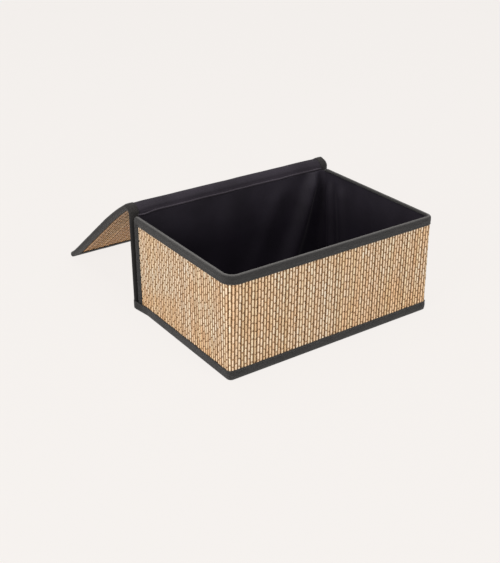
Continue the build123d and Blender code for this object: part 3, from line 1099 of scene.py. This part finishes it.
def panel_lining():
    """The panel's cloth on a grid whose rows are closer together over the fold."""
    bm = bmesh.new()
    bmesh.ops.create_grid(bm, x_segments=90, y_segments=150, size=0.5)
    cloth = finished(bm, "panel_lining_cloth")
    flat = points_of(cloth.data)
    x = flat[:, 0] * 2 * cloth_half
    row = flat[:, 1] + 0.5
    share = np.where(row < 0.3, row / 0.3 * 0.12, 0.12 + (row - 0.3) / 0.7 * 0.88)
    along = cloth_start + share * (cloth_end - cloth_start)
    edge = smooth_step((PANEL_HALF - TAPE_BAND - np.abs(x)) / 0.010)
    edge = edge * smooth_step((PANEL_RUN - TAPE_BAND - along) / 0.010)
    past_rim = smooth_step((along - TOP) / 0.006)
    before_lid = smooth_step((FOLD_Z + FOLD_RUN + 0.001 - along) / 0.008)
    loose = 0.0002 * (1 + ripple(x + along * 0.5, 51, 1.0, 0.09)) - 0.0009 * past_rim * before_lid
    put(cloth.data, panel_at(x, along, FACE - 0.0001 + edge * loose))
    turned_out(cloth)
    if sum(face.normal.z for face in cloth.data.polygons) < 0:
        cloth.data.flip_normals()
    return thickened(cloth, LINING)


panel_cloth = panel_lining()
dressed(panel_cloth, PANEL_CLOTH, None, ["hinge_lining", "lid_lining"])
folds_with_lid(panel_cloth)

# %% [markdown]
# Where the two linings meet, the panel's cloth is turned under and sewn to the bag. That makes a thin hem
# along the top of the rear wall, which droops a little at its left end. It is drawn in a paler copy of the
# lining cloth, as a painted highlight.

# %% Hem of the rear wall
def rear_hem():
    """A thin roll along the top of the rear wall's inner face."""
    stations = list(range(121))
    hem, flat = flat_piece(swept(arc((0, 0), 1.0, 0, 330, 11), stations), "rear_hem")
    share = flat[:, 0] / (len(stations) - 1)
    x = (share - 0.5) * 2 * (HALF - 2 * BOUND - 0.002)
    droop = 0.0022 * hump(x, -HALF + 0.018, 0.012) + ripple(x, 61, 0.00035, 0.09)
    taper = np.minimum(1, np.minimum(share, 1 - share) * 40)
    z = TOP - 0.0002 - droop + flat[:, 2] * 0.0014 * (0.5 + 0.5 * taper)
    y = bag_high.y - 0.0008 - 0.4 * droop + flat[:, 1] * 0.0011
    put(hem.data, np.stack([x, y, z], -1))
    return turned_out(hem)


dressed(rear_hem(), HEM_HIGHLIGHT_CLOTH, "box")

# %% [markdown]
# Under the base a plain cloth covers the board, and its edge goes in under the foot's tape. The dark grey
# boards inside the walls, the lid and the base are the solid parts themselves, given a finish.

# %% Base cover and boards
cover_low, cover_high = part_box("base_cover")
bm = bmesh.new()
bmesh.ops.create_grid(bm, x_segments=60, y_segments=44, size=0.5)
cover = finished(bm, "base_cloth_sheet")
flat = points_of(cover.data)
cover_size = cover_high - cover_low
edge = smooth_step((0.5 - np.abs(flat[:, 0])) / 0.06) * smooth_step((0.5 - np.abs(flat[:, 1])) / 0.06)
sag = edge * 0.0001 * (1 + ripple(flat[:, 0] + flat[:, 1], 71, 1.0, 0.3))
middle_y = (cover_low.y + cover_high.y) / 2
put(cover.data, np.stack([flat[:, 0] * cover_size.x, middle_y + flat[:, 1] * cover_size.y,
                          cover_high.z - sag], -1))
thickened(cover, cover_size.z)
dressed(cover, BASE_CLOTH, "box", ["base_cover"])

for node in ("left_board", "right_board", "front_board", "rear_board", "base_board", "lid_board"):
    board = bpy.data.objects[node]
    board.data.materials.clear()
    board.data.materials.append(BOARD_FINISH)
print("cover and boards dressed")

# %% [markdown]
# ## Floor, light and camera
# The basket stands on a pale seamless floor inside a distant round backdrop of the same pale finish. Most
# of the floor's brightness is its own, as in a light box, so shadows stay faint. One broad soft light hangs
# above and in front, a second fills from the left, and a third is high behind.

# %% Floor and lights
STAGE_REACH = 20.0
BACKDROP_HEIGHT = 3.2
bm = bmesh.new()
bmesh.ops.create_grid(bm, x_segments=1, y_segments=1, size=STAGE_REACH)
floor = finished(bm, "floor", smooth=False)
floor.data.transform(Matrix.Translation((0, 0, -0.0004)))
floor_finish = Finish("pale_floor", 0.9, 0.0)
floor_finish.colour((0.03, 0.029, 0.028, 1))
floor_finish.shader.inputs["Emission Color"].default_value = (0.913, 0.880, 0.855, 1)
floor_finish.shader.inputs["Emission Strength"].default_value = 0.960
floor.data.materials.append(floor_finish.material)

bm = bmesh.new()
bmesh.ops.create_cone(bm, cap_ends=False, segments=96, radius1=STAGE_REACH, radius2=STAGE_REACH,
                      depth=BACKDROP_HEIGHT)
backdrop = finished(bm, "backdrop")
backdrop.data.materials.append(floor_finish.material)


def soft_light(name, place, aim, size, power, colour):
    """A round area light at a place, turned towards a point."""
    data = bpy.data.lights.new(name, "AREA")
    data.shape = "DISK"
    data.size = size
    data.energy = power
    data.color = colour
    lamp = bpy.data.objects.new(name, data)
    lamp.location = place
    lamp.rotation_euler = (Vector(aim) - Vector(place)).to_track_quat("-Z", "Y").to_euler()
    bpy.context.scene.collection.objects.link(lamp)


soft_light("key", (0.2, -1.8, 1.9), (0, 0.05, 0.05), 1.4, 34, (1.0, 0.98, 0.95))
soft_light("fill", (-2.0, -0.5, 1.15), (0, 0, 0.05), 1.2, 34, (1.0, 0.97, 0.94))
soft_light("top", (-0.3, 0.7, 2.4), (0, 0.05, 0.05), 1.6, 18, (1.0, 0.99, 0.98))

world = bpy.data.worlds.new("studio")
world.use_nodes = True
background = world.node_tree.nodes["Background"]
background.inputs["Color"].default_value = (0.95, 0.93, 0.91, 1)
background.inputs["Strength"].default_value = 0.45
bpy.context.scene.world = world
bpy.context.scene.view_settings.view_transform = "Standard"
print("floor, backdrop and three lights placed")

# %% [markdown]
# The camera looks at the near left corner from above, with a long lens so that the sides stay nearly
# parallel.

# %% Camera
lens = bpy.data.cameras.new("camera")
lens.lens = 60.99
lens.sensor_width = 36
camera = bpy.data.objects.new("camera", lens)
camera.location = (-0.7513, -1.0000, 0.6718)
camera.rotation_euler = (math.radians(90 - 26.666), 0, math.radians(-34.833))
bpy.context.scene.collection.objects.link(camera)
bpy.context.scene.camera = camera
print("camera placed")
